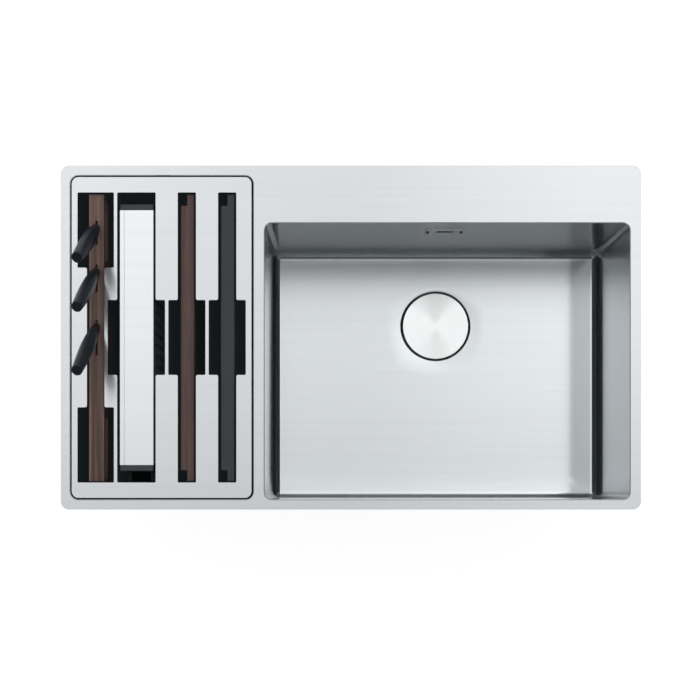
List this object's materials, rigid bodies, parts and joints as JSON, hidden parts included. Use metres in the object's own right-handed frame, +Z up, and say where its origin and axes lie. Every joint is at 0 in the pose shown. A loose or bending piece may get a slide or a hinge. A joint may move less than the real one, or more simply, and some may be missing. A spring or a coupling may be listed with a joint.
{
  "type": "workstation kitchen sink",
  "caption": "Inset steel sink: a wide bowl beside a deep well whose lift-out organiser holds a knife block, a colander and two boards.",
  "frame": {"origin": "centre of the sink's rectangular outline, on the worktop surface that the foam strip under the rim rests on", "axes": "+X to the right along the front edge, +Y to the back, +Z up"},
  "size_m": [0.86, 0.51, 0.4135],
  "materials": {
    "steel": "brushed",
    "plated_steel": "zinc plated",
    "black_plastic": "fine moulded grain",
    "rubber": "matt",
    "walnut": "oiled",
    "graphite": "matt",
    "handle_black": "satin"
  },
  "bodies": {
    "sink": {"deck": "steel", "main_bowl": "steel", "accessory_well": "steel", "rim_seal": "rubber", "bowl_sound_pads": "rubber", "well_sound_pads": "rubber", "clamp_brackets": "plated_steel", "waste_upper_seal": "rubber", "waste_flange": "steel", "waste_lower_seal": "rubber", "waste_body": "black_plastic", "waste_outlet": "black_plastic", "waste_screw": "plated_steel", "overflow_cover": "steel", "overflow_seal": "rubber", "overflow_housing": "black_plastic", "overflow_screws": "plated_steel", "overflow_hose": "black_plastic", "overflow_elbow": "black_plastic", "well_waste_seals": "rubber", "well_waste_flange": "steel", "well_waste_body": "black_plastic", "well_waste_screw": "plated_steel", "cross_pipe": "black_plastic", "pipe_nuts": "black_plastic"},
    "basket": {"strainer_basket": "steel", "basket_stem": "plated_steel", "basket_seal": "rubber"},
    "cover_disc": {"drain_cover": "steel"},
    "organiser": {"organiser_plate": "steel", "organiser_band": "steel", "organiser_insert": "black_plastic", "organiser_feet": "rubber"},
    "block": {"knife_block": "walnut"},
    "large_knife": {"large_knife_blade": "steel", "large_knife_handle": "handle_black"},
    "middle_knife": {"middle_knife_blade": "steel", "middle_knife_handle": "handle_black"},
    "small_knife": {"small_knife_blade": "steel", "small_knife_handle": "handle_black"},
    "colander": {"colander_basin": "steel", "colander_grip_front": "black_plastic", "colander_grip_back": "black_plastic"},
    "cutting_board": {"wood_board": "walnut"},
    "draining_board": {"black_board": "graphite"},
    "clamp_1": {"clamp_screw_1": "plated_steel"},
    "toe_1": {"clamp_toe_1": "plated_steel"},
    "clamp_2": {"clamp_screw_2": "plated_steel"},
    "toe_2": {"clamp_toe_2": "plated_steel"},
    "clamp_3": {"clamp_screw_3": "plated_steel"},
    "toe_3": {"clamp_toe_3": "plated_steel"},
    "clamp_4": {"clamp_screw_4": "plated_steel"},
    "toe_4": {"clamp_toe_4": "plated_steel"}
  },
  "joints": [
    {"name": "organiser_lift", "type": "slide", "parent": "sink", "child": "organiser", "axis": [0, 0, 1], "range_m": [0, 0.21]},
    {"name": "block_lift", "type": "slide", "parent": "organiser", "child": "block", "axis": [0, 0, 1], "range_m": [0, 0.2]},
    {"name": "large_knife_draw", "type": "slide", "parent": "block", "child": "large_knife", "axis": [0, -0.5, 0.866], "range_m": [0, 0.2]},
    {"name": "middle_knife_draw", "type": "slide", "parent": "block", "child": "middle_knife", "axis": [0, -0.5, 0.866], "range_m": [0, 0.16]},
    {"name": "small_knife_draw", "type": "slide", "parent": "block", "child": "small_knife", "axis": [0, -0.5, 0.866], "range_m": [0, 0.09]},
    {"name": "colander_lift", "type": "slide", "parent": "organiser", "child": "colander", "axis": [0, 0, 1], "range_m": [0, 0.2]},
    {"name": "wood_board_lift", "type": "slide", "parent": "organiser", "child": "cutting_board", "axis": [0, 0, 1], "range_m": [0, 0.2]},
    {"name": "black_board_lift", "type": "slide", "parent": "organiser", "child": "draining_board", "axis": [0, 0, 1], "range_m": [0, 0.2]},
    {"name": "basket_lift", "type": "slide", "parent": "sink", "child": "basket", "axis": [0, 0, 1], "range_m": [0, 0.12]},
    {"name": "cover_lift", "type": "slide", "parent": "basket", "child": "cover_disc", "axis": [0, 0, 1], "range_m": [0, 0.06]},
    {"name": "clamp_1_raise", "type": "slide", "parent": "sink", "child": "clamp_1", "axis": [0, 0, 1], "range_m": [0, 0.022]},
    {"name": "toe_1_swing", "type": "hinge", "parent": "clamp_1", "child": "toe_1", "pos_m": [-0.2805, -0.2483, -0.046], "axis": [0, 0, 1], "range_deg": [0, 90]},
    {"name": "clamp_2_raise", "type": "slide", "parent": "sink", "child": "clamp_2", "axis": [0, 0, 1], "range_m": [0, 0.022]},
    {"name": "toe_2_swing", "type": "hinge", "parent": "clamp_2", "child": "toe_2", "pos_m": [0.305, -0.2483, -0.046], "axis": [0, 0, 1], "range_deg": [-90, 0]},
    {"name": "clamp_3_raise", "type": "slide", "parent": "sink", "child": "clamp_3", "axis": [0, 0, 1], "range_m": [0, 0.022]},
    {"name": "toe_3_swing", "type": "hinge", "parent": "clamp_3", "child": "toe_3", "pos_m": [-0.2805, 0.2483, -0.046], "axis": [0, 0, 1], "range_deg": [0, 90]},
    {"name": "clamp_4_raise", "type": "slide", "parent": "sink", "child": "clamp_4", "axis": [0, 0, 1], "range_m": [0, 0.022]},
    {"name": "toe_4_swing", "type": "hinge", "parent": "clamp_4", "child": "toe_4", "pos_m": [0.305, 0.2483, -0.046], "axis": [0, 0, 1], "range_deg": [-90, 0]}
  ]
}
